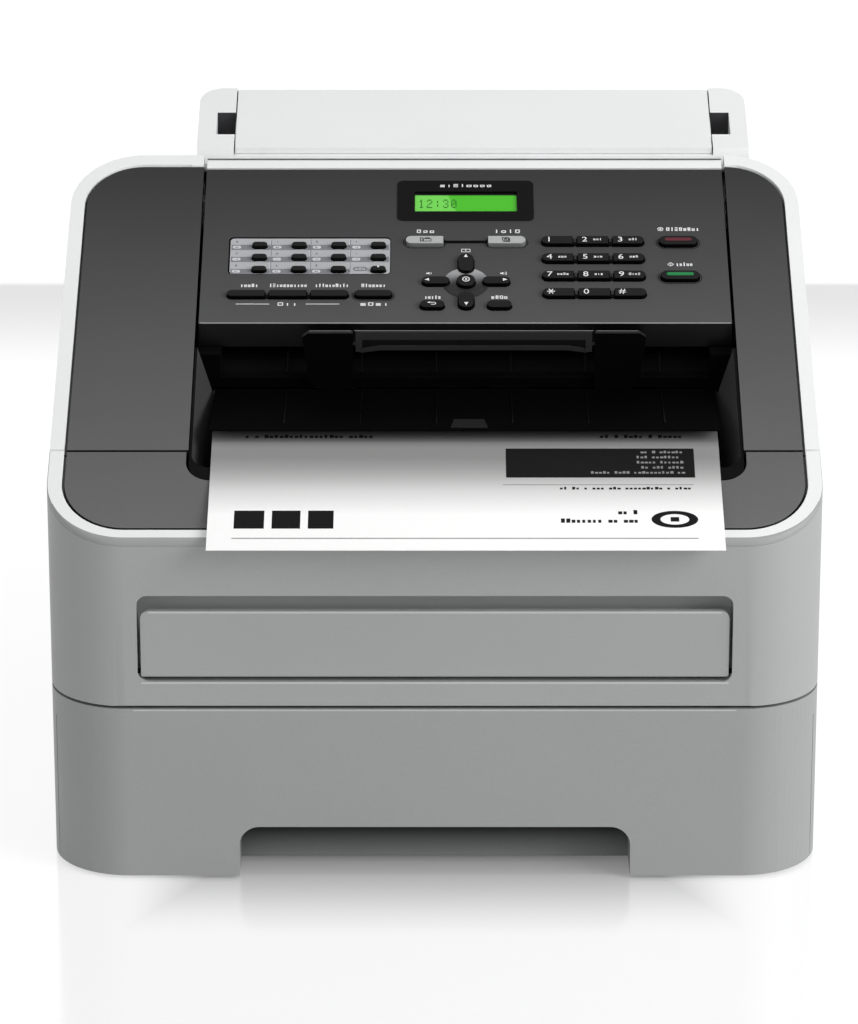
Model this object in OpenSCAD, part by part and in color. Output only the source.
// Desktop laser fax machine: paper tray below, front cover with a hand-feed
// door, sloped top with a lifting control panel, and a folding document support.
// Millimetres. Every module is drawn with Y = 0 at the front face and Z = 0 on
// the table; placed() then centres the whole machine over the origin.

/* [Body] */
// Width of the machine over its side walls
body_w = 368; // [350:1:390]
// Depth of the machine from front face to back wall
body_d = 360; // [352:1:380]
// Plan radius of the two front corners
corner_front = 38; // [34:1:42]
// Plan radius of the two back corners of the base
corner_rear = 30; // [22:1:34]
// Plan radius of the two back corners of the raised top
top_corner_rear = 36; // [30:1:40]
// Thickness of the outer walls
wall = 3; // [2.4:0.1:3.4]
// Depth of the raised top, measured from the front face
top_unit_d = 265; // [262:1:268]
// Slope of the top, degrees
slope = 23.5; // [22.5:0.5:24]
// Height of the sloped top at the front face
top_front_z = 170.9; // [168:0.1:174]
// Height of the low back deck where it meets the raised top
deck_front_z = 252; // [250:1:254]
// Height of the low back deck at the back wall
deck_rear_z = 232; // [226:1:240]
// Clearance between the underside and the table
floor_gap = 1.5; // [1:0.1:2]

/* [Rim and top panels] */
// Width of the pale rim around the top
rim_w = 7; // [6:0.5:8]
// Thickness of the rim cap under the top plane
rim_t = 2; // [1.6:0.1:2.4]
// How far the rim stands above the top plane
rim_proud = 1; // [0.5:0.1:1.5]
// Width of the dark groove between the rim and the top panels
panel_groove = 1.2; // [0.8:0.1:1.6]
// Thickness of the dark top panels under the rim
flange_t = 3; // [2.5:0.1:3.5]
// How far the dark top panels stand above the top plane
panel_proud = 0.5; // [0.2:0.1:0.9]

/* [Front] */
// Depth of the front pieces, from the front face to the joint with the body
joint_d = 58.2; // [56:0.2:60]
// Height of the top edge of the tray front
tray_top = 87.2; // [84:0.2:89]
// Seam between neighbouring casing pieces
seam = 1; // [0.8:0.1:1.3]
// Seam between the tray front and the front cover
tray_seam = 1.4; // [1.2:0.1:1.8]
// Width of the handle cut-out in the tray front
grip_w = 187; // [160:1:200]
// Height of the handle cut-out
grip_h = 26.7; // [22:0.1:30]
// Corner radius of the handle cut-out
grip_r = 9.7; // [6:0.1:12]
// Depth of the handle cut-out
grip_d = 24; // [20:1:28]
// Width of the hand-feed pocket
slot_w = 281; // [240:1:284]
// Height of the hand-feed pocket
slot_h = 43.3; // [38:0.1:44]
// Height of the pocket's lower edge above the table
slot_z = 101; // [100:0.5:102]
// Depth of the hand-feed pocket
slot_d = 15; // [12:0.5:20]
// Corner radius of the hand-feed pocket
slot_r = 5; // [3:0.5:7]
// Height of the hand-feed door plate
door_h = 33; // [28:0.5:34]

/* [Output recess] */
// Sideways offset of the recess, panel and document support from the middle
panel_x = 15; // [13:0.5:16]
// Width of the output recess
recess_w = 265.4; // [262:0.2:268]
// Distance from the front face to the recess
recess_d = 40; // [38:0.5:42]
// Plan radius of the recess's front corners
recess_r = 11; // [8:0.5:13]
// Depth of the flat band at the front of the output bed
bed_band = 8.7; // [7:0.1:10]
// How far the side walls of the bed lean in
bed_taper = 8.2; // [6:0.1:10]
// Height over which the side walls of the bed lean
bed_taper_h = 24; // [18:1:28]
// Thickness of the output bed
bed_t = 2.5; // [2:0.1:3]

/* [Control panel] */
// Width of the control panel
cp_w = 262.4; // [259:0.2:263]
// Distance from the front face to the panel's front edge
cp_d = 144.8; // [143:0.2:147]
// Length of the dark part of the panel along the slope
cp_len = 120.8; // [120:0.1:121.4]
// Length of the pale hinge strip along the slope
strip_len = 7.4; // [7:0.1:7.8]
// Thickness of the panel's top plate
cp_t = 2.5; // [2:0.1:3]
// Depth of the panel's side walls
cp_side = 8; // [6:0.5:9]
// Height of the panel's front wall
cp_front_h = 11.9; // [10:0.1:12.5]
// Radius of the panel's hinge pins
cp_pin_r = 2; // [1.5:0.1:2.2]

/* [Keys] */
// Gap around each key
key_gap = 0.4; // [0.3:0.05:0.6]
// Height of the keys above the panel
key_h = 2.2; // [1.5:0.1:3]
// Width of the flange that holds each key under the panel
key_flange = 0.8; // [0.5:0.05:0.9]
// Width of a number key
number_w = 15.7; // [13:0.1:16]
// Depth of a number key
number_d = 6; // [5:0.1:8]
// Sideways pitch of the number keys
number_pitch_x = 17.8; // [17.6:0.1:19]
// Pitch of the number rows along the slope
number_pitch_y = 13.5; // [12:0.1:14]
// Width of a one-touch key
touch_w = 7.5; // [6:0.1:9]
// Depth of a one-touch key
touch_d = 3.6; // [3:0.1:4.5]
// Sideways pitch of the one-touch keys
touch_pitch_x = 19.8; // [18:0.1:20]
// Pitch of the one-touch rows along the slope
touch_pitch_y = 9.4; // [8.4:0.1:10]
// Width of the stop and start keys
start_w = 19.3; // [16:0.1:20]
// Depth of the stop and start keys
start_d = 6.8; // [6:0.1:8]
// Diameter of the OK key
ok_dia = 9.3; // [8:0.1:10]
// Distance from the OK key to the arrow keys
arrow_reach = 15; // [14.5:0.1:16]
// Width of the display's dark bezel
bezel_w = 69; // [64:0.5:74]
// Depth of the display's dark bezel along the slope
bezel_d = 32; // [28:0.5:34]

/* [Document support] */
// Width of the casing under the document support
support_w = 283; // [278:1:286]
// Length of the casing, front to back
support_d = 60; // [56:1:64]
// Slope of the document support, degrees
support_slope = 17.5; // [16:0.5:18.5]
// Width of the folding flap
flap_w = 244.3; // [236:0.1:248]
// Thickness of the folding flap
flap_t = 3; // [2.6:0.1:3.4]
// Depth of the document slot between the casing and the panel's hinge strip
entry_gap = 4.5; // [4.2:0.1:6]
// Plan radius of the casing's back corners
support_r = 12.5; // [9:0.5:14]

/* [Paper tray] */
// Room between the paper tray box and each side frame, where its rail runs
rail_room = 8; // [7:1:20]
// Room behind the paper tray box, for the sockets
tray_back_room = 43; // [33:1:50]
// Height of the paper tray box
tray_h = 57; // [45:1:58]

/* [Mechanism] */
// Radius of the heat and pressure rollers
fuser_r = 12; // [10:0.5:12.5]
// Radius of the roller shafts
shaft_r = 4; // [3:0.1:4.5]
// Radial clearance of a shaft in its bearing
run_gap = 0.05; // [0.03:0.01:0.08]
// Radius of the pick-up roller
pickup_r = 12; // [10:0.5:12.5]
// Radius of the image drum
drum_r = 12; // [10:0.5:12.5]
// Tooth module of the drive gears
gear_m = 1.5; // [1.5:0.1:1.6]
// Diameter of a rubber foot
foot_dia = 16; // [10:1:20]

/* [Printed page] */
// Width of the printed page
page_w = 242.5; // [210:0.5:246]
// How far the page overhangs the front face
page_overhang = 12; // [8:0.5:14]
// Thickness of the page solid
page_t = 0.4; // [0.3:0.05:0.5]

/* [Hidden] */
$fn = 64;

far = 900;                       // larger than the machine, for cutting solids
overlap = 0.5;                   // how far joined primitives run into each other
soft_gap = 0.3;                  // between curved faces that follow each other
half_w = body_w/2;
front_y = (page_overhang - body_d)/2;
front_end = joint_d - seam/2;    // where the front pieces stop
body_start = joint_d + seam/2;   // where the body starts
cover_z = tray_top + tray_seam;  // lower edge of the front cover

casing_grey = [0.57, 0.59, 0.58];
rim_white = [0.90, 0.91, 0.91];
panel_dark = [0.29, 0.29, 0.29];
black = [0.08, 0.08, 0.08];
steel = [0.70, 0.71, 0.73];

function top_z(d) = top_front_z + d*tan(slope);

// Moves from the drawing frame to the machine's own frame.
module placed() {
  translate([0, front_y, 0]) children();
}

// Rounded rectangle from corner to corner; rf rounds the front, rb the back.
module plan(x0, x1, y0, y1, rf, rb) {
  translate([x0, y0 + rf]) square([x1 - x0, y1 - y0 - rf - rb]);
  if (rf > 0) {
    translate([x0 + rf, y0]) square([x1 - x0 - 2*rf, rf + overlap]);
    for (x = [x0 + rf, x1 - rf]) translate([x, y0 + rf]) circle(r = rf);
  }
  if (rb > 0) {
    translate([x0 + rb, y1 - rb - overlap]) square([x1 - x0 - 2*rb, rb + overlap]);
    for (x = [x0 + rb, x1 - rb]) translate([x, y1 - rb]) circle(r = rb);
  }
}

module block(x0, x1, y0, y1, z0, z1) {
  translate([x0, y0, z0]) cube([x1 - x0, y1 - y0, z1 - z0]);
}

module base_outline(inset) {
  plan(-half_w + inset, half_w - inset, inset, body_d - inset,
       corner_front - inset, corner_rear - inset);
}

module upper_outline(inset) {
  plan(-half_w + inset, half_w - inset, inset, top_unit_d - inset,
       corner_front - inset, top_corner_rear - inset);
}

// Everything under the sloped top plane, shifted up by offset.
module below_top(offset) {
  translate([0, 0, top_front_z + offset]) rotate([slope, 0, 0])
    translate([-far/2, -far/2, -far]) cube([far, 2*far, far]);
}

// Layer parallel to the top plane, between two heights above it.
module top_layer(low, high) {
  translate([0, 0, top_front_z + low]) rotate([slope, 0, 0])
    translate([-far/2, -far/2, 0]) cube([far, 2*far, (high - low)*cos(slope)]);
}

// A side view (depth, height) drawn out from x0 to x1.
module side_shape(points, x0, x1) {
  translate([x0, 0, 0]) rotate([90, 0, 90]) linear_extrude(x1 - x0) polygon(points);
}

// A front view (width, height) drawn out from y0 to y1.
module front_shape(y0, y1) {
  translate([0, y1, 0]) rotate([90, 0, 0]) linear_extrude(y1 - y0) children();
}

module rod(r, x0, x1, d, z) {
  translate([x0, d, z]) rotate([0, 90, 0]) cylinder(r = r, h = x1 - x0);
}

// Straight spur gear along +X from x = 0; turn is its angle about its axis.
module spur(teeth, width, bore_r, turn) {
  pitch_r = teeth*gear_m/2;
  root_r = pitch_r - 1.2*gear_m;
  tip_r = pitch_r + 0.75*gear_m;
  root_half = 0.85*gear_m;
  tip_half = 0.38*gear_m;
  tooth = [[root_r, -root_half], [tip_r, -tip_half], [tip_r, tip_half], [root_r, root_half]];
  rotate([0, 90, 0]) rotate([0, 0, turn]) difference() {
    linear_extrude(width) polygon([for (i = [0 : teeth - 1], p = tooth)
      let (a = i*360/teeth) [p[0]*cos(a) - p[1]*sin(a), p[0]*sin(a) + p[1]*cos(a)]]);
    if (bore_r > 0) translate([0, 0, -1]) cylinder(r = bore_r, h = width + 2);
  }
}

// ---------------------------------------------------------------- places

side_room = 36;                  // from a side frame's inner face to the side wall
frame_x = half_w - side_room;    // inner face of the two side frames
frame_t = 4;
frame_d0 = 68;  frame_d1 = body_d - 20;   // the side frames, front to back
side_frame_top = 170;
beam_w = 6;                      // thickness of the cross beams
feet_d = [75, body_d - 45];
heat_d = body_d - 60;  heat_z = 112.3;
fuser_half = 112;                // half the length of the heat and pressure rollers
press_z = heat_z - 2*fuser_r - soft_gap;
pickup_d = 85; pickup_z = 78;
pickup_shaft_r = 3;
drum_shaft_r = 3;
roller_gear_teeth = 16;
drive_gear_teeth = 24;
gear_reach = gear_m*(roller_gear_teeth + drive_gear_teeth)/2;
drive_d = heat_d - gear_reach;
stub_r = 3;
gear_w = 5;
gear_x = -frame_x - frame_t - 0.8 - gear_w;

hinge_d = 3.4;  hinge_z = cover_z + 2.8;   // axis of the front cover
hinge_pin_r = 1.2;
hinge_boss_r = 2.2;
hinge_x = frame_x - 17.6;  hinge_w = 8.2;  // the two fixed hinge arms
arm_low = hinge_z - 2;  arm_high = hinge_z + 2;

tray_w = 2*(frame_x - rail_room);
tray_y0 = 27;                              // front of the paper tray box
tray_len = body_d - tray_back_room - tray_y0;
tray_z = 5;
tray_wall = 2.5;
lift_d = 240;  lift_z = 11;                // axis of the lift plate
lift_pin_r = 2;
lift_side = tray_w/2 - tray_wall - 3.5;

recess_x0 = panel_x - recess_w/2;
recess_x1 = panel_x + recess_w/2;
bed_gap = 0.3;
bed_end = 160;

door_pin_r = 1.2;
door_d = 2.4;  door_z = slot_z + 4.8;      // axis of the hand-feed door
door_side = slot_w/2 - 1.6;

rear_hinge_r = 6;  rear_z = 93;            // barrel of the rear cover
rear_half = 110;
rear_top = 200;
rear_pin_r = 2;
rear_lug_w = 8;  rear_lug_h = 7;

// Sockets in the back wall: left and right edge, lower and upper edge.
inlet_x0 = half_w - 66;  inlet_w = 28;  inlet_z0 = 30;  inlet_h = 20;
line_x0 = -half_w + 34;  line_w = 32;  line_z0 = 38;  line_h = 14;
socket_deep = 22;  line_deep = 18;         // how far the sockets reach inwards
socket_gap = 0.3;                          // round each socket in the back wall
socket_wall = 2;

vent_n = 10;  vent_pitch = 9;  vent_w = 3; // cooling slots in the right wall
vent_d0 = body_d - 130;  vent_z0 = 150;  vent_h = 40;

laser_d0 = 168;  laser_len = 120;  laser_z = 128;
laser_half = 95;  laser_h = 20;
drum_half = 118;                           // half the length of drum and cartridge
cartridge_d0 = 70;  cartridge_d1 = 150;  cartridge_z0 = 97;  cartridge_z1 = 141;
drum_d = cartridge_d1 + drum_r + 1;        // the drum lies just behind the cartridge
drum_z = cartridge_z0 + drum_r + 1;

chute_front = 130;
chute_x0 = panel_x - recess_w/2 + 0.7;
chute_x1 = panel_x + recess_w/2 - 0.7;
feed_d = 200;  feed_z = top_z(feed_d) - 17.5;   // document roller
feed_r = 6;  feed_shaft_r = 2;
tab_d = 126;
bar_d = 128;  bar_z = 228.5;  bar_pin_r = 1;    // stop bar axis
bar_x0 = -38.7;  bar_x1 = 76.9;
tab_left = [-64.8, bar_x0 - 1.4];
tab_right = [bar_x1 + 1.4, 103.2];

strip_s0 = cp_len + 0.2;
strip_s1 = strip_s0 + strip_len;
cp_hinge_s = strip_s1 - 2.4;
cp_hinge_z = -3;
function panel_d(s, z) = cp_d + s*cos(slope) - z*sin(slope);
function panel_z(s, z) = top_z(cp_d) + s*sin(slope) + z*cos(slope);
cp_hinge_d = panel_d(cp_hinge_s, cp_hinge_z);
cp_hinge_h = panel_z(cp_hinge_s, cp_hinge_z);
lug_t = 6.3;

support_y0 = top_unit_d + 1;
support_y1 = support_y0 + support_d;
support_front_z = 288;
support_x0 = panel_x + 4.5 - support_w/2;
support_x1 = panel_x + 4.5 + support_w/2;
flap_x = 19.8;                              // middle of the folding flap
flap_gap = 0.6;
flap_pin_r = 1;
flap_hinge_d = support_y1 - flap_t/2;
ramp_z = 268;                               // foot of the document ramp
function support_z(d) = support_front_z + (d - support_y0)*tan(support_slope);
flap_hinge_z = support_z(flap_hinge_d) - flap_t/2/cos(support_slope);

// ---------------------------------------------------------------- chassis

module base_frame() {
  rail_z = 20;
  color(black) placed() difference() {
    union() {
      linear_extrude(tray_z - 0.5) intersection() {
        base_outline(wall + soft_gap);
        translate([-half_w, body_start + overlap]) square([body_w, body_d]);
      }
      for (side = [-1, 1]) {
        x0 = side > 0 ? frame_x : -frame_x - frame_t;
        block(x0, x0 + frame_t, frame_d0, frame_d1, floor_gap, side_frame_top);
        rail0 = side > 0 ? tray_w/2 + 0.5 : -frame_x - overlap;
        rail1 = side > 0 ? frame_x + overlap : -tray_w/2 - 0.5;
        block(rail0, rail1, frame_d0 + 2, frame_d1 - 10, rail_z, rail_z + 4);
        // hinge arm of the front cover
        arm0 = side > 0 ? hinge_x : -hinge_x - hinge_w;
        block(arm0, arm0 + hinge_w, hinge_d, frame_d0 - 2, arm_low, arm_high);
        rod(hinge_boss_r, arm0, arm0 + hinge_w, hinge_d, hinge_z);
        arm_foot0 = side > 0 ? hinge_x : -frame_x - frame_t;
        arm_foot1 = side > 0 ? frame_x + frame_t : -hinge_x;
        block(arm_foot0, arm_foot1, frame_d0 - 6, frame_d0 + 4, arm_low, arm_low + 12);
      }
      // cross beams that carry the cartridge and the laser unit
      for (d = [cartridge_d0 + 10, cartridge_d1 - 10])
        block(-frame_x - 1, frame_x + 1, d, d + beam_w, cartridge_z0 - beam_w, cartridge_z0);
      for (d = [laser_d0 + 14, laser_d0 + laser_len - 14])
        block(-frame_x - 1, frame_x + 1, d, d + beam_w, laser_z - beam_w, laser_z);
      // stub for the idler gear
      rod(stub_r, gear_x - 1, -frame_x - 1, drive_d, heat_z);
    }
    // underside cleared down to the feet
    translate([-far/2, -far/2, -far + floor_gap]) cube([far, far, far]);
    for (side = [-1, 1]) {
      arm0 = side > 0 ? hinge_x : -hinge_x - hinge_w;
      rod(hinge_pin_r + run_gap, arm0 - 1, arm0 + hinge_w + 1, hinge_d, hinge_z);
      x0 = side > 0 ? frame_x - 1 : -frame_x - frame_t - 1;
      rod(shaft_r + run_gap, x0, x0 + frame_t + 2, heat_d, heat_z);
      rod(shaft_r + run_gap, x0, x0 + frame_t + 2, heat_d, press_z);
      rod(pickup_shaft_r + run_gap, x0, x0 + frame_t + 2, pickup_d, pickup_z);
    }
  }
}

module rubber_feet() {
  color([0.15, 0.15, 0.15]) placed()
    for (x = [-half_w + 50, half_w - 50], d = feet_d)
      translate([x, d, 0]) cylinder(d = foot_dia, h = floor_gap);
}

module body_shell() {
  deck = [[body_start, floor_gap], [body_d, floor_gap], [body_d, deck_rear_z],
          [top_unit_d, deck_front_z], [body_start, deck_front_z]];
  inner_deck = [[-wall, -wall], [body_d - wall, -wall],
                [body_d - wall, deck_rear_z - wall],
                [top_unit_d - wall, deck_front_z - wall], [-wall, deck_front_z - wall]];
  color(casing_grey) placed() difference() {
    intersection() {
      union() {
        intersection() {
          linear_extrude(far/2) base_outline(0);
          side_shape(deck, -half_w, half_w);
        }
        intersection() {
          linear_extrude(far/2) upper_outline(0);
          block(-half_w, half_w, body_start, body_d, deck_front_z - 20, far/2);
        }
      }
      below_top(-rim_t);
    }
    intersection() {
      translate([0, 0, -wall]) linear_extrude(far/2) base_outline(wall);
      side_shape(inner_deck, -half_w, half_w);
    }
    translate([0, 0, deck_front_z - 40]) linear_extrude(far/2) upper_outline(wall);
    // back wall opening for the rear cover
    block(-rear_half, rear_half, body_d - 10, body_d + 1, rear_z - rear_hinge_r - 0.5, rear_top);
    // gap behind the control panel's hinge strip
    block(recess_x0 - lug_t - 1, recess_x1 + lug_t + 1, top_unit_d - 10, top_unit_d + 1,
          266, far/2);
    // openings for the power inlet and the two line sockets
    block(inlet_x0 - socket_gap, inlet_x0 + inlet_w + socket_gap, body_d - 10, body_d + 1,
          inlet_z0 - socket_gap, inlet_z0 + inlet_h + socket_gap);
    block(line_x0 - socket_gap, line_x0 + line_w + socket_gap, body_d - 10, body_d + 1,
          line_z0 - socket_gap, line_z0 + line_h + socket_gap);
    // cooling slots in the right wall
    for (i = [0 : vent_n - 1]) block(half_w - 10, half_w + 1, vent_d0 + i*vent_pitch,
      vent_d0 + i*vent_pitch + vent_w, vent_z0, vent_z0 + vent_h);
  }
  // lugs that carry the rear cover's pins
  color(casing_grey) placed() for (side = [-1, 1]) difference() {
    x0 = side > 0 ? rear_half + 0.3 : -rear_half - 0.3 - rear_lug_w;
    block(x0, x0 + rear_lug_w, body_d - 14, body_d - wall + overlap,
          rear_z - rear_lug_h, rear_z + rear_lug_h);
    rod(rear_pin_r + run_gap, x0 - 1, x0 + rear_lug_w + 1, body_d - rear_hinge_r, rear_z);
  }
}

module rear_sockets() {
  back = body_d - 0.2;
  pin_w = 2;
  pin_pitch = 5.5;
  color(black) placed() {
    difference() {
      block(inlet_x0, inlet_x0 + inlet_w, back - socket_deep, back, inlet_z0, inlet_z0 + inlet_h);
      block(inlet_x0 + socket_wall, inlet_x0 + inlet_w - socket_wall, back - socket_deep + 4,
            back + 1, inlet_z0 + socket_wall, inlet_z0 + inlet_h - socket_wall);
    }
    // three flat pins, the middle one higher
    for (i = [-1, 0, 1]) {
      x = inlet_x0 + inlet_w/2 - pin_w/2 + pin_pitch*i;
      z = inlet_z0 + 8 + (i == 0 ? 3 : 0);
      block(x, x + pin_w, back - socket_deep + 4 - overlap, back - 4, z, z + 4);
    }
    // two line sockets side by side, each with a notch for the plug's catch
    difference() {
      block(line_x0, line_x0 + line_w, back - line_deep, back, line_z0, line_z0 + line_h);
      for (i = [0, 1]) {
        x = line_x0 + 2.4 + i*(line_w/2 - 0.5);
        block(x, x + 9.6, back - line_deep + 4, back + 1, line_z0 + 4, line_z0 + 11);
        block(x + 2.8, x + 6.8, back - line_deep + 4, back + 1, line_z0 + 2, line_z0 + 4.5);
      }
    }
  }
}

module main_board() {
  board_d0 = 120;  board_len = 170;
  board_z0 = 40;  board_h = 100;
  board_t = 1.6;
  stand_off = 6;  edge = 6;
  chip_w = 22;  chip_pitch = 36;
  x = frame_x + frame_t;
  face = x + stand_off + board_t - 0.6;
  color([0.10, 0.35, 0.18]) placed() {
    block(x + stand_off, x + stand_off + board_t, board_d0, board_d0 + board_len,
          board_z0, board_z0 + board_h);
    for (d = [board_d0 + edge, board_d0 + board_len - edge],
         z = [board_z0 + edge, board_z0 + board_h - edge])
      rod(stand_off/2, x, x + stand_off + overlap, d, z);
    for (i = [0 : 3]) block(face, face + 3 + 2*i, board_d0 + 10 + i*chip_pitch,
      board_d0 + 10 + chip_w + i*chip_pitch, board_z0 + 20, board_z0 + 44);
    block(face, face + 10, board_d0 + 30, board_d0 + 130, board_z0 + 60, board_z0 + 76);
  }
}

module laser_unit() {
  step = 8;                      // from the housing's edge to its raised lid
  lid_t = 3;
  motor_r = 34;
  top = laser_z + laser_h;
  color([0.20, 0.20, 0.21]) placed() difference() {
    union() {
      block(-laser_half, laser_half, laser_d0, laser_d0 + laser_len, laser_z, top);
      block(-laser_half + step - 1, laser_half - step + 1, laser_d0 + step,
            laser_d0 + laser_len - step, top - overlap, top + lid_t);
      translate([0, laser_d0 + laser_len/2, top + lid_t - 1]) cylinder(r = motor_r, h = 5);
    }
    // window for the beam
    block(-laser_half - 10, laser_half + 10, laser_d0 - 1, laser_d0 + 1, laser_z + 5, laser_z + 11);
  }
}

module toner_cartridge() {
  d0 = cartridge_d0;  d1 = cartridge_d1;
  z0 = cartridge_z0;  z1 = cartridge_z1;
  side_t = 4;
  grip_half = 30;
  outline = [[d0, z0 + 1], [d0 + 14, z0], [d1 - 4, z0], [d1, z0 + 7], [d1, z1 - 17],
             [d1 - 12, z1], [d0 + 14, z1], [d0 + 2, z1 - 11]];
  color([0.16, 0.16, 0.17]) placed() difference() {
    union() {
      side_shape(outline, -drum_half, drum_half);
      // side plates that carry the drum
      for (x = [-drum_half - side_t, drum_half])
        block(x, x + side_t, d1 - 12, drum_d + drum_r + 1, z0, z0 + 28);
      // handle
      for (x = [-grip_half, grip_half - side_t]) block(x, x + side_t, d0 - 4, d0 + 10, z0 + 7, z0 + 19);
      block(-grip_half, grip_half, d0 - 6, d0 - 2, z0 + 7, z0 + 19);
    }
    rod(drum_shaft_r + run_gap, -drum_half - side_t - 1, drum_half + side_t + 1, drum_d, drum_z);
  }
}

module drum_roller() {
  color([0.15, 0.45, 0.50]) placed() {
    rod(drum_r, -drum_half + 0.5, drum_half - 0.5, drum_d, drum_z);
    rod(drum_shaft_r, -drum_half - 3.8, drum_half + 3.8, drum_d, drum_z);
  }
}

module heat_roller() {
  color([0.45, 0.20, 0.16]) placed() {
    rod(fuser_r, -fuser_half, fuser_half, heat_d, heat_z);
    rod(shaft_r, gear_x, frame_x + frame_t + 1, heat_d, heat_z);
    translate([gear_x, heat_d, heat_z]) spur(roller_gear_teeth, gear_w, 0, 0);
  }
}

module pressure_roller() {
  color([0.55, 0.40, 0.35]) placed() {
    rod(fuser_r, -fuser_half, fuser_half, heat_d, press_z);
    rod(shaft_r, -frame_x - frame_t, frame_x + frame_t + 1, heat_d, press_z);
  }
}

module pickup_roller() {
  color([0.25, 0.25, 0.27]) placed() {
    rod(pickup_r, -22, 22, pickup_d, pickup_z);
    rod(pickup_shaft_r, -frame_x - frame_t - 1, frame_x + frame_t + 1, pickup_d, pickup_z);
  }
}

module drive_gear() {
  color([0.85, 0.85, 0.80]) placed() translate([gear_x, drive_d, heat_z])
    spur(drive_gear_teeth, gear_w, stub_r + run_gap, 90 + 180/drive_gear_teeth);
}

// ---------------------------------------------------------------- paper tray

module tray_front() {
  color(casing_grey) placed() difference() {
    union() {
      difference() {
        intersection() {
          linear_extrude(tray_top) base_outline(0);
          block(-half_w, half_w, 0, front_end, floor_gap, tray_top);
        }
        translate([0, 0, -1]) linear_extrude(tray_top + 2) base_outline(wall);
      }
      // finger box behind the cut-out
      block(-grip_w/2 - wall, grip_w/2 + wall, wall - overlap, grip_d + wall,
            floor_gap, grip_h + wall);
      // inner wall that joins the front to the tray box
      block(-half_w + wall - overlap, half_w - wall + overlap, grip_d, grip_d + wall,
            floor_gap, tray_top - 12);
    }
    intersection() {
      front_shape(-1, grip_d) union() {
        plan(-grip_w/2, grip_w/2, -20, grip_h, 0, grip_r);
      }
      block(-half_w, half_w, -1, grip_d, -1, grip_h + 1);
    }
  }
}

module tray_box() {
  y1 = tray_y0 + tray_len;
  color([0.12, 0.12, 0.12]) placed() difference() {
    block(-tray_w/2, tray_w/2, tray_y0, y1, tray_z, tray_z + tray_h);
    block(-tray_w/2 + tray_wall, tray_w/2 - tray_wall, tray_y0 + tray_wall, y1 - tray_wall,
          tray_z + tray_wall, tray_z + tray_h + 1);
    for (side = [-1, 1]) {
      x0 = side > 0 ? lift_side : -lift_side - 6;
      rod(lift_pin_r + run_gap, x0, x0 + 6, lift_d, lift_z);
    }
  }
}

module lift_plate() {
  y0 = tray_y0 + tray_wall + 3;
  plate_t = 1.6;
  color(steel) placed() difference() {
    union() {
      block(-lift_side, lift_side, y0, lift_d, lift_z - plate_t/2, lift_z + plate_t/2);
      rod(3, -lift_side, lift_side, lift_d, lift_z);
      rod(lift_pin_r, -lift_side - 5, lift_side + 5, lift_d, lift_z);
      block(-28, 28, y0 + 10, y0 + 46, lift_z, lift_z + plate_t);
    }
    for (side = [-1, 1]) block(side*85 - 5, side*85 + 5, 60, 180, 0, 20);
  }
}

// ---------------------------------------------------------------- front cover

module front_cover() {
  pocket_z = slot_z + slot_h/2;
  color(casing_grey) placed() difference() {
    union() {
      difference() {
        intersection() {
          linear_extrude(far/2) base_outline(0);
          block(-half_w, half_w, 0, front_end, cover_z, far/2);
          below_top(-rim_t);
        }
        linear_extrude(far/2) base_outline(wall);
      }
      // pocket behind the hand-feed door
      block(-slot_w/2 - 2, slot_w/2 + 2, wall - overlap, slot_d + 2, slot_z - 2, slot_z + slot_h + 2);
      // lugs beside each hinge arm
      for (side = [-1, 1], dx = [-4, hinge_w + 0.4]) {
        x = (side > 0 ? hinge_x : -hinge_x - hinge_w) + dx;
        block(x, x + 3.6, wall - overlap, 6.4, cover_z, hinge_z + 4);
      }
    }
    front_shape(-1, slot_d) translate([0, pocket_z])
      plan(-slot_w/2, slot_w/2, -slot_h/2, slot_h/2, slot_r, slot_r);
    // paper slot in the back of the pocket
    block(-112, 112, slot_d - 1, slot_d + 3, slot_z + 11, slot_z + 17);
    // blind bores for the door's pins
    rod(door_pin_r + run_gap, -slot_w/2 - 2.5, slot_w/2 + 2.5, door_d, door_z);
    // room for the fixed hinge bosses
    for (side = [-1, 1]) {
      x0 = (side > 0 ? hinge_x : -hinge_x - hinge_w) - 0.4;
      block(x0, x0 + hinge_w + 0.8, 0.8, wall + 5, cover_z - 1, hinge_z + 5);
    }
    // lower front edge eased so that it swings clear of the tray front
    difference() {
      block(-half_w, half_w, -1, hinge_d, cover_z - 1, hinge_z);
      rod(4, -half_w - 1, half_w + 1, hinge_d, hinge_z);
    }
  }
  color(steel) placed() for (side = [-1, 1]) {
    x0 = (side > 0 ? hinge_x : -hinge_x - hinge_w) - 3;
    rod(hinge_pin_r, x0, x0 + hinge_w + 6, hinge_d, hinge_z);
  }
}

module front_rim() {
  color(rim_white) placed() intersection() {
    linear_extrude(far/2) difference() {
      upper_outline(0);
      upper_outline(rim_w);
      translate([-half_w, front_end]) square([body_w, body_d]);
    }
    top_layer(-rim_t, rim_proud);
  }
}

// Dark top surface: a raised panel with a thin flange under the rim.
module dark_panel() {
  intersection() {
    linear_extrude(far/2) upper_outline(wall + soft_gap);
    top_layer(-rim_t - flange_t, -rim_t);
  }
  intersection() {
    linear_extrude(far/2) upper_outline(rim_w + panel_groove);
    top_layer(-rim_t - flange_t, panel_proud);
  }
}

module front_lip() {
  color(panel_dark) placed() difference() {
    intersection() {
      dark_panel();
      block(-half_w, half_w, 0, front_end, 0, far/2);
    }
    linear_extrude(far/2) plan(recess_x0 - 0.8, recess_x1 + 0.8, recess_d - 0.8,
                               body_d, recess_r + 0.8, 0);
  }
}

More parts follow.
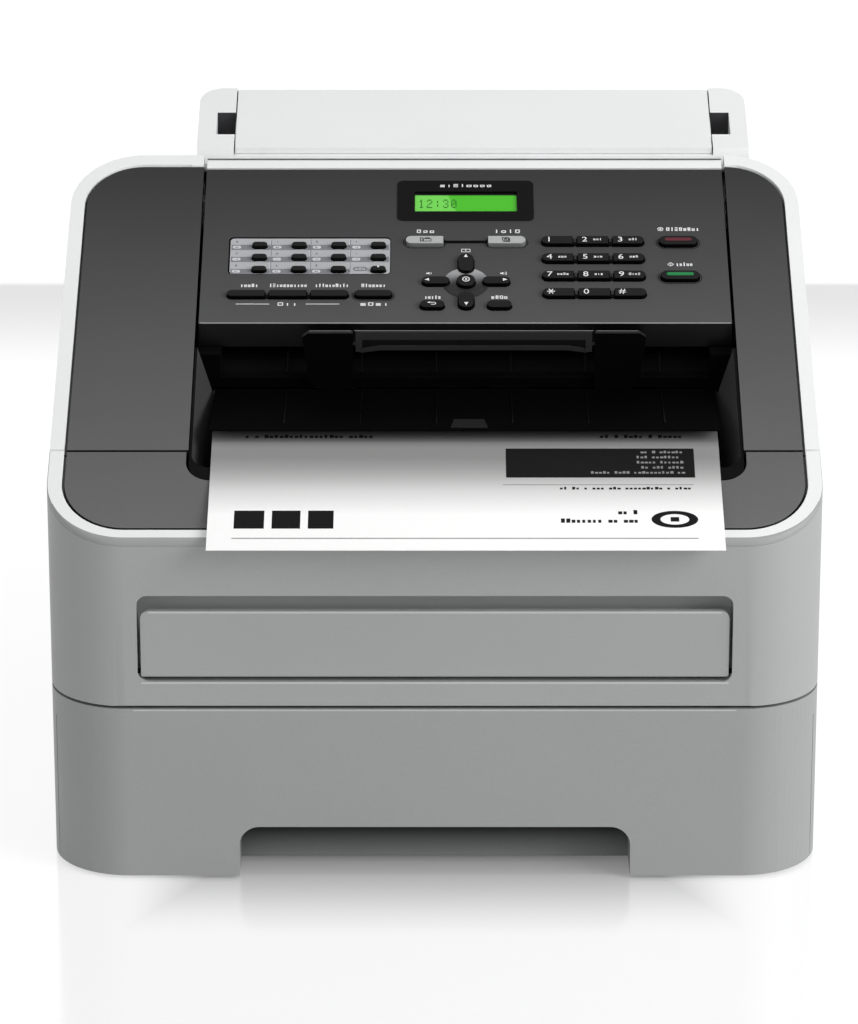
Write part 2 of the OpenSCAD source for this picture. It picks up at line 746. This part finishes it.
module manual_feed_door() {
  top = slot_z + 2.3 + door_h;
  color(casing_grey) placed() {
    front_shape(1.2, 4.2) plan(-door_side, door_side, slot_z + 2.3, top, 1, 4);
    rod(door_pin_r, -door_side - 3.4, door_side + 3.4, door_d, door_z);
  }
}

// ---------------------------------------------------------------- top

module top_side_panels() {
  color(panel_dark) placed() difference() {
    intersection() {
      dark_panel();
      block(-half_w, half_w, body_start, top_unit_d - rim_w - panel_groove, 0, far/2);
    }
    block(recess_x0, recess_x1, 0, body_d, 0, far/2);
  }
}

module top_frame() {
  lug_y0 = top_unit_d - rim_w - 0.7;
  color(rim_white) placed() difference() {
    union() {
      intersection() {
        linear_extrude(far/2) difference() {
          upper_outline(0);
          upper_outline(rim_w);
          translate([-half_w, -1]) square([body_w, body_start + 1]);
          translate([recess_x0, top_unit_d - 2*rim_w]) square([recess_w, 3*rim_w]);
        }
        top_layer(-rim_t, rim_proud);
      }
      // blocks beside the control panel's hinge strip, and the bar below it
      intersection() {
        union() {
          for (x = [recess_x0 - lug_t, recess_x1])
            block(x, x + lug_t, lug_y0, top_unit_d, 250, far/2);
        }
        below_top(rim_proud);
      }
      block(recess_x0 - lug_t, recess_x1 + lug_t, lug_y0 - 2, top_unit_d - wall - soft_gap,
            253, 265.5);
    }
    rod(cp_pin_r + run_gap, recess_x0 - lug_t - 1, recess_x1 + lug_t + 1, cp_hinge_d, cp_hinge_h);
    // keeps the blocks clear of the back wall behind them
    block(-half_w, half_w, top_unit_d - wall - soft_gap, top_unit_d + 1, 0, 265.9);
  }
}

// Prism that follows the slope, with side walls that lean in by bed_taper.
module leaning_prism(grow, d0, d1) {
  x0 = recess_x0 + 1.5 - grow;
  x1 = recess_x1 - 1.5 + grow;
  translate([0, 0, top_front_z]) rotate([slope, 0, 0])
    translate([0, d1/cos(slope), 0]) rotate([90, 0, 0]) linear_extrude((d1 - d0)/cos(slope))
      polygon([[x0, 40], [x0, 0], [x0 + bed_taper, -bed_taper_h], [x0 + bed_taper, -150],
               [x1 - bed_taper, -150], [x1 - bed_taper, -bed_taper_h], [x1, 0], [x1, 40]]);
}

// Sloping floor of the output bed: depth and height of its surface.
bed_floor = [[recess_d + bed_band, top_z(recess_d + bed_band) - 1.5], [60, 184],
             [80, 176], [120, 167], [bed_end + 1, 161]];

module above_bed(drop, lift_first) {
  side_shape(concat([[lift_first, bed_floor[0][1] - drop]],
                    [for (p = bed_floor) [p[0], p[1] - drop]],
                    [[bed_end + 1, far/2], [lift_first, far/2]]), -half_w, half_w);
}

module output_bed() {
  front = recess_d + bed_gap;
  color([0.16, 0.16, 0.16]) placed() difference() {
    intersection() {
      linear_extrude(far/2) plan(recess_x0 + bed_gap, recess_x1 - bed_gap, front, bed_end,
                                 recess_r - bed_gap, 0);
      union() {
        top_layer(-5, -0.5);
        leaning_prism(bed_t, -20, body_d);
      }
      above_bed(bed_t, front - 1);
      below_top(-0.5);
    }
    intersection() {
      leaning_prism(0, -20, body_d);
      above_bed(0, recess_d + bed_band);
      linear_extrude(far/2) plan(recess_x0 + 1.5, recess_x1 - 1.5, recess_d + bed_band,
                                 body_d, recess_r - 2, 0);
    }
    // the bed stops lower where the document chute passes over it
    block(-half_w, half_w, chute_front - 1.5, body_d, 203.5, far/2);
  }
}

// ---------------------------------------------------------------- documents

module document_chute() {
  floor_z = 210.8;
  low_z = 205.8;
  cheek_w = 12;
  back = top_unit_d - rim_w - 3.2;
  channel = [[chute_front, low_z], [chute_front, floor_z], [142, floor_z + 0.6],
             [168, top_z(168) - 15], [back, top_z(back) - 15], [back, top_z(back) - 24],
             [170, 219], [145, low_z]];
  cheek = [[chute_front, low_z], [chute_front, 222.6], [142.4, 222.6], [142.4, 216],
           [168, top_z(168) - 15], [168, 219], [145, low_z]];
  color(black) placed() difference() {
    union() {
      side_shape(channel, chute_x0, chute_x1);
      side_shape(cheek, chute_x0, chute_x0 + cheek_w);
      side_shape(cheek, chute_x1 - cheek_w, chute_x1);
      // guide tabs at the front of the document exit
      front_shape(tab_d, chute_front + overlap) {
        tab_profile(tab_left[0], tab_left[1], low_z, false);
        tab_profile(tab_right[0], tab_right[1], low_z, true);
      }
    }
    // slots and bearings for the document roller
    for (x = [-60, 15, 90]) block(x - 13, x + 13, feed_d - feed_r - 1, feed_d + feed_r + 1,
                                  feed_z - feed_r - 1, far/2);
    rod(feed_shaft_r + run_gap, chute_x0 + 4, chute_x1 - 4, feed_d, feed_z);
    // bearings for the stop bar
    rod(bar_pin_r + run_gap, tab_left[1] - 4, tab_right[0] + 4, bar_d, bar_z);
  }
}

// Outline of a guide tab with a round outer lower corner and a wider top.
module tab_profile(x0, x1, z0, mirrored) {
  z1 = 234.6;
  r = 5;
  lean = 3;
  if (mirrored) {
    polygon([[x0, z0], [x1 - lean - r, z0], [x1 - lean, z0 + r], [x1, z1 - 2],
             [x1 - 3, z1], [x0, z1]]);
  } else {
    polygon([[x1, z0], [x0 + lean + r, z0], [x0 + lean, z0 + r], [x0, z1 - 2],
             [x0 + 3, z1], [x1, z1]]);
  }
}

module stop_bar() {
  post_w = 3.2;
  low = bar_z - 3.5;             // lower edge of the lower rail at its ends
  rail_h = 2;
  bend = 12;                     // from an end to the rail's straight middle
  lower_line = [[bar_x0, low], [bar_x0 + post_w, low - 0.6], [bar_x0 + bend, low + 0.6],
                [bar_x1 - bend, low + 0.6], [bar_x1 - post_w, low - 0.6], [bar_x1, low]];
  n = len(lower_line);
  color(black) placed() {
    block(bar_x0, bar_x1, bar_d - 1.5, bar_d + 1.5, bar_z + 2.6, bar_z + 6.5);
    for (x = [bar_x0, bar_x1 - post_w])
      block(x, x + post_w, bar_d - 1.5, bar_d + 1.5, low, bar_z + 3.5);
    front_shape(bar_d - 1, bar_d + 1) polygon(concat(lower_line,
      [for (i = [n - 1 : -1 : 0]) [lower_line[i][0], lower_line[i][1] + rail_h]]));
    rod(bar_pin_r, bar_x0 - 4.5, bar_x0 + 1, bar_d, bar_z);
    rod(bar_pin_r, bar_x1 - 1, bar_x1 + 4.5, bar_d, bar_z);
  }
}

module document_roller() {
  color([0.20, 0.20, 0.22]) placed() {
    rod(feed_shaft_r, chute_x0 + 4.5, chute_x1 - 4.5, feed_d, feed_z);
    for (x = [-60, 15, 90]) rod(feed_r, x - 11, x + 11, feed_d, feed_z);
  }
}

module support_plane_layer(low, high) {
  translate([0, support_y0, support_front_z + low/cos(support_slope)])
    rotate([support_slope, 0, 0])
      translate([-far/2, -far/2, 0]) cube([far, far, high - low]);
}

module support_casing() {
  plate_t = 8;
  flap0 = flap_x - flap_w/2 - flap_gap;
  flap1 = flap_x + flap_w/2 + flap_gap;
  color(rim_white) placed() difference() {
    union() {
      intersection() {
        linear_extrude(far/2) plan(support_x0, support_x1, support_y0, support_y1, 0, support_r);
        support_plane_layer(-plate_t, 0);
      }
      // pedestal down to the low deck
      side_shape([[support_y0 + 1, deck_front_z + 0.2], [support_y1 - 8, deck_front_z
        - (support_y1 - 8 - top_unit_d)*(deck_front_z - deck_rear_z)/(body_d - top_unit_d) + 0.2],
        [support_y1 - 4, support_z(support_y1 - 4) - plate_t],
        [support_y0 + 1, support_z(support_y0 + 1) - plate_t]], support_x0 + 8, support_x1 - 8);
    }
    // bed for the folding flap
    intersection() {
      block(flap0, flap1, support_y0 - 1, support_y1 + 1, 0, far/2);
      support_plane_layer(-flap_t - 0.4, far/2);
    }
    // finger notches beside the flap
    for (x = [flap0 - 9.6, flap1]) block(x, x + 9.6, support_y0 + 17, support_y0 + 37,
      support_z(support_y0 + 17) - 6, far/2);
    rod(flap_pin_r + run_gap, flap0 - 4, flap1 + 4, flap_hinge_d, flap_hinge_z);
    // ramp that leads a document down behind the control panel
    side_shape([[support_y0 - 1, ramp_z], [support_y0, ramp_z],
                [support_y0 + entry_gap, support_z(support_y0 + entry_gap) + 0.1],
                [support_y0 + entry_gap, far/2], [support_y0 - 1, far/2]],
               support_x0 - 1, support_x1 + 1);
    // hollow under the casing
    block(support_x0 + 12, support_x1 - 12, support_y0 + 5, support_y1 - 12,
          deck_front_z - 20, support_front_z - plate_t - 3);
  }
}

module document_flap() {
  color(rim_white) placed() {
    intersection() {
      block(flap_x - flap_w/2, flap_x + flap_w/2, support_y0 + entry_gap + 0.5, flap_hinge_d,
            0, far/2);
      support_plane_layer(-flap_t, 0);
    }
    rod(flap_t/2, flap_x - flap_w/2, flap_x + flap_w/2, flap_hinge_d, flap_hinge_z);
    rod(flap_pin_r, flap_x - flap_w/2 - 4, flap_x + flap_w/2 + 4, flap_hinge_d, flap_hinge_z);
  }
}

module rear_cover() {
  color(casing_grey) placed() {
    block(-rear_half + 0.5, rear_half - 0.5, body_d - wall, body_d, rear_z, rear_top - 0.6);
    rod(rear_hinge_r, -rear_half + 0.5, rear_half - 0.5, body_d - rear_hinge_r, rear_z);
    rod(rear_pin_r, -rear_half - 7.5, rear_half + 7.5, body_d - rear_hinge_r, rear_z);
    for (i = [0 : 6]) block(-90 + i*30, -88 + i*30, body_d - wall - 6, body_d - wall + overlap,
                            rear_z, rear_top - 12);
  }
}

// ---------------------------------------------------------------- page

page_line = [[-page_overhang, 171], [recess_d, 189.2], [69, 199.5], [88, 203.4],
             [105, 203.6], [130, 200.6], [158, 194]];

module printed_page() {
  n = len(page_line);
  color([0.97, 0.97, 0.96]) placed() side_shape(concat(page_line,
    [for (i = [n - 1 : -1 : 0]) [page_line[i][0], page_line[i][1] + page_t]]),
    panel_x - 0.5 - page_w/2, panel_x - 0.5 + page_w/2);
}

// ---------------------------------------------------------------- panel and keys

number_x = 46.3;  number_s = 62.3;         // first number key
touch_x = -102.6; touch_s = 59;            // first one-touch key
mode_x = 20.6;  mode_w = 19;
nav_x = 0.5;  nav_s = 31;                  // middle of the OK key
start_x = 107;
strip_key_w = 18.7;  strip_key_d = 4.8;  strip_key_s = 21;
strip_key_x = -108.5;  strip_key_pitch = 20.7;
options_x = -45.4;
arrow_w = 7.8;  arrow_l = 13.6;
small_w = 12;  small_d = 5.6;  small_s = 12.8;
plate_under = cp_t + 0.3;                  // top of the flanges under the panel
bezel_s = 95.4;

// Local frame of the panel: X across, Y up the slope from its front edge.
module on_panel() {
  translate([panel_x, cp_d, top_z(cp_d)]) rotate([slope, 0, 0]) children();
}

// Key outline; each end is square or fully round.
module key_shape(w, d, round_left, round_right) {
  r = min(w, d)/2 - 0.02;
  translate([-w/2 + (round_left ? r : 0), -d/2])
    square([w - (round_left ? r : 0) - (round_right ? r : 0), d]);
  if (round_left) translate([-w/2 + r, 0]) circle(r = d/2);
  if (round_right) translate([w/2 - r, 0]) circle(r = d/2);
}

module key_solid(x, s, w, d, round_left, round_right) {
  translate([x, s, 0]) {
    translate([0, 0, -plate_under - overlap]) linear_extrude(key_h + plate_under + overlap)
      key_shape(w, d, round_left, round_right);
    translate([0, 0, -plate_under - 1.5]) linear_extrude(1.5)
      key_shape(w + 2*key_flange, d + 2*key_flange, round_left, round_right);
  }
}

module key_hole(x, s, w, d, round_left, round_right) {
  translate([x, s, -far/20]) linear_extrude(far/10)
    key_shape(w + 2*key_gap, d + 2*key_gap, round_left, round_right);
}

module upright_key(x, s, w, l) {
  translate([x, s, 0]) rotate([0, 0, 90]) key_solid(0, 0, l, w, true, true);
}

module number_place(col, row) {
  translate([number_x + col*number_pitch_x, number_s - row*number_pitch_y, 0]) children();
}

module number_key(col, row) {
  color(black) placed() on_panel() number_place(col, row)
    key_solid(0, 0, number_w, number_d, col == 0, col == 2);
}

module touch_row(row) {
  color(black) placed() on_panel() translate([touch_x, touch_s - row*touch_pitch_y, 0]) {
    for (i = [0 : 3]) translate([i*touch_pitch_x, 0, 0])
      key_solid(0, 0, touch_w, touch_d, true, true);
    translate([-touch_w/2, -touch_d/2, -plate_under - 1.5])
      cube([3*touch_pitch_x + touch_w, touch_d, 1.5]);
  }
}

module key_1() number_key(0, 0);
module key_2() number_key(1, 0);
module key_3() number_key(2, 0);
module key_4() number_key(0, 1);
module key_5() number_key(1, 1);
module key_6() number_key(2, 1);
module key_7() number_key(0, 2);
module key_8() number_key(1, 2);
module key_9() number_key(2, 2);
module key_star() number_key(0, 3);
module key_0() number_key(1, 3);
module key_hash() number_key(2, 3);
module one_touch_row_1() touch_row(0);
module one_touch_row_2() touch_row(1);
module one_touch_row_3() touch_row(2);

module fax_key_strip() {
  color(black) placed() on_panel() {
    for (i = [0 : 2]) key_solid(strip_key_x + i*strip_key_pitch, strip_key_s, strip_key_w,
                                strip_key_d, i == 0, i == 2);
    translate([strip_key_x, strip_key_s - strip_key_d/2, -plate_under - 1.5])
      cube([2*strip_key_pitch, strip_key_d, 1.5]);
  }
}

module options_key() {
  color(black) placed() on_panel()
    key_solid(options_x, strip_key_s, strip_key_w, strip_key_d, true, true);
}

module fax_mode_key() {
  color([0.75, 0.76, 0.77]) placed() on_panel()
    key_solid(nav_x - mode_x, number_s, mode_w, number_d, true, false);
}

module copy_mode_key() {
  color([0.75, 0.76, 0.77]) placed() on_panel()
    key_solid(nav_x + mode_x, number_s, mode_w, number_d, false, true);
}

module arrow_up() {
  color(black) placed() on_panel() upright_key(nav_x, nav_s + arrow_reach - 1.2, arrow_w, arrow_l);
}

module arrow_down() {
  color(black) placed() on_panel() upright_key(nav_x, nav_s - arrow_reach, arrow_w, arrow_l - 1.6);
}

module arrow_left() {
  color(black) placed() on_panel()
    key_solid(nav_x - arrow_reach, nav_s, arrow_l, small_d, true, true);
}

module arrow_right() {
  color(black) placed() on_panel()
    key_solid(nav_x + arrow_reach, nav_s, arrow_l, small_d, true, true);
}

module ok_key() {
  color(black) placed() on_panel() translate([nav_x, nav_s, 0]) {
    translate([0, 0, -plate_under - overlap])
      cylinder(d = ok_dia, h = key_h + plate_under + overlap);
    translate([0, 0, -plate_under - 1.5]) cylinder(d = ok_dia + 2*key_flange, h = 1.5);
  }
}

module clear_key() {
  color(black) placed() on_panel() key_solid(nav_x - 16.8, small_s, small_w, small_d, true, true);
}

module menu_key() {
  color(black) placed() on_panel() key_solid(nav_x + 16.4, small_s, small_w, small_d, true, true);
}

module stop_key() {
  color([0.10, 0.08, 0.08]) placed() on_panel()
    key_solid(start_x, number_s - 0.3, start_w, start_d, true, true);
}

module start_key() {
  color([0.08, 0.10, 0.08]) placed() on_panel()
    key_solid(start_x, number_s - 2*number_pitch_y - 0.3, start_w, start_d, true, true);
}

module all_key_holes() {
  for (col = [0 : 2], row = [0 : 3]) number_place(col, row)
    key_hole(0, 0, number_w, number_d, col == 0, col == 2);
  for (i = [0 : 3], row = [0 : 2])
    key_hole(touch_x + i*touch_pitch_x, touch_s - row*touch_pitch_y, touch_w, touch_d, true, true);
  for (i = [0 : 2]) key_hole(strip_key_x + i*strip_key_pitch, strip_key_s, strip_key_w,
                             strip_key_d, i == 0, i == 2);
  key_hole(options_x, strip_key_s, strip_key_w, strip_key_d, true, true);
  key_hole(nav_x - mode_x, number_s, mode_w, number_d, true, false);
  key_hole(nav_x + mode_x, number_s, mode_w, number_d, false, true);
  for (side = [-1, 1]) key_hole(nav_x + side*arrow_reach, nav_s, arrow_l, small_d, true, true);
  translate([nav_x, nav_s + arrow_reach - 1.2, 0]) rotate([0, 0, 90])
    key_hole(0, 0, arrow_l, arrow_w, true, true);
  translate([nav_x, nav_s - arrow_reach, 0]) rotate([0, 0, 90])
    key_hole(0, 0, arrow_l - 1.6, arrow_w, true, true);
  translate([nav_x, nav_s, -far/20]) cylinder(d = ok_dia + 2*key_gap, h = far/10);
  key_hole(nav_x - 16.8, small_s, small_w, small_d, true, true);
  key_hole(nav_x + 16.4, small_s, small_w, small_d, true, true);
  for (row = [0, 2])
    key_hole(start_x, number_s - row*number_pitch_y - 0.3, start_w, start_d, true, true);
}

module control_panel() {
  half = cp_w/2;
  side_t = 2.2;
  foot_z = top_z(cp_d) - cp_front_h;
  inner_d = cp_d + cp_t;
  outer = [[cp_d, foot_z], [inner_d, foot_z], [panel_d(cp_side, -cp_side), panel_z(cp_side, -cp_side)],
           [panel_d(cp_len, -cp_side), panel_z(cp_len, -cp_side)],
           [panel_d(cp_len, 0), panel_z(cp_len, 0)], [cp_d, top_z(cp_d)]];
  back_s = cp_len - side_t;
  inner = [[inner_d, foot_z - 5], [inner_d, top_z(inner_d) - cp_t/cos(slope)],
           [panel_d(back_s, -cp_t), panel_z(back_s, -cp_t)],
           [panel_d(back_s, -3*cp_side), panel_z(back_s, -3*cp_side)]];
  color(panel_dark) placed() difference() {
    side_shape(outer, panel_x - half, panel_x + half);
    side_shape(inner, panel_x - half + side_t, panel_x + half - side_t);
    on_panel() {
      all_key_holes();
      translate([nav_x - bezel_w/2 - 0.2, bezel_s - bezel_d/2 - 0.2, -1.5])
        cube([bezel_w + 0.4, bezel_d + 0.4, 5]);
    }
  }
}

module lcd_screen() {
  color([0.12, 0.12, 0.12]) placed() on_panel() translate([nav_x, bezel_s, -1.5]) {
    difference() {
      linear_extrude(1.9) plan(-bezel_w/2, bezel_w/2, -bezel_d/2, bezel_d/2, 5, 5);
      translate([-26, -8.8, 1]) cube([52, 13.4, 2]);
    }
  }
}

module panel_strip() {
  half = cp_w/2;
  color(rim_white) placed() on_panel() {
    translate([-half, strip_s0, -7]) cube([cp_w, strip_len, 7 + rim_proud]);
    translate([-half - lug_t + 0.4, cp_hinge_s, cp_hinge_z]) rotate([0, 90, 0])
      cylinder(r = cp_pin_r, h = cp_w + 2*lug_t - 0.8);
  }
}

base_frame();
body_shell();
top_frame();
top_side_panels();
output_bed();
support_casing();
rubber_feet();
laser_unit();
main_board();
rear_sockets();
document_chute();
stop_bar();
tray_front();
tray_box();
lift_plate();
front_cover();
front_rim();
front_lip();
manual_feed_door();
control_panel();
panel_strip();
lcd_screen();
document_flap();
rear_cover();
toner_cartridge();
drum_roller();
heat_roller();
pressure_roller();
pickup_roller();
document_roller();
drive_gear();
printed_page();
key_1();
key_2();
key_3();
key_4();
key_5();
key_6();
key_7();
key_8();
key_9();
key_star();
key_0();
key_hash();
one_touch_row_1();
one_touch_row_2();
one_touch_row_3();
fax_key_strip();
options_key();
fax_mode_key();
copy_mode_key();
arrow_up();
arrow_down();
arrow_left();
arrow_right();
ok_key();
clear_key();
menu_key();
stop_key();
start_key();
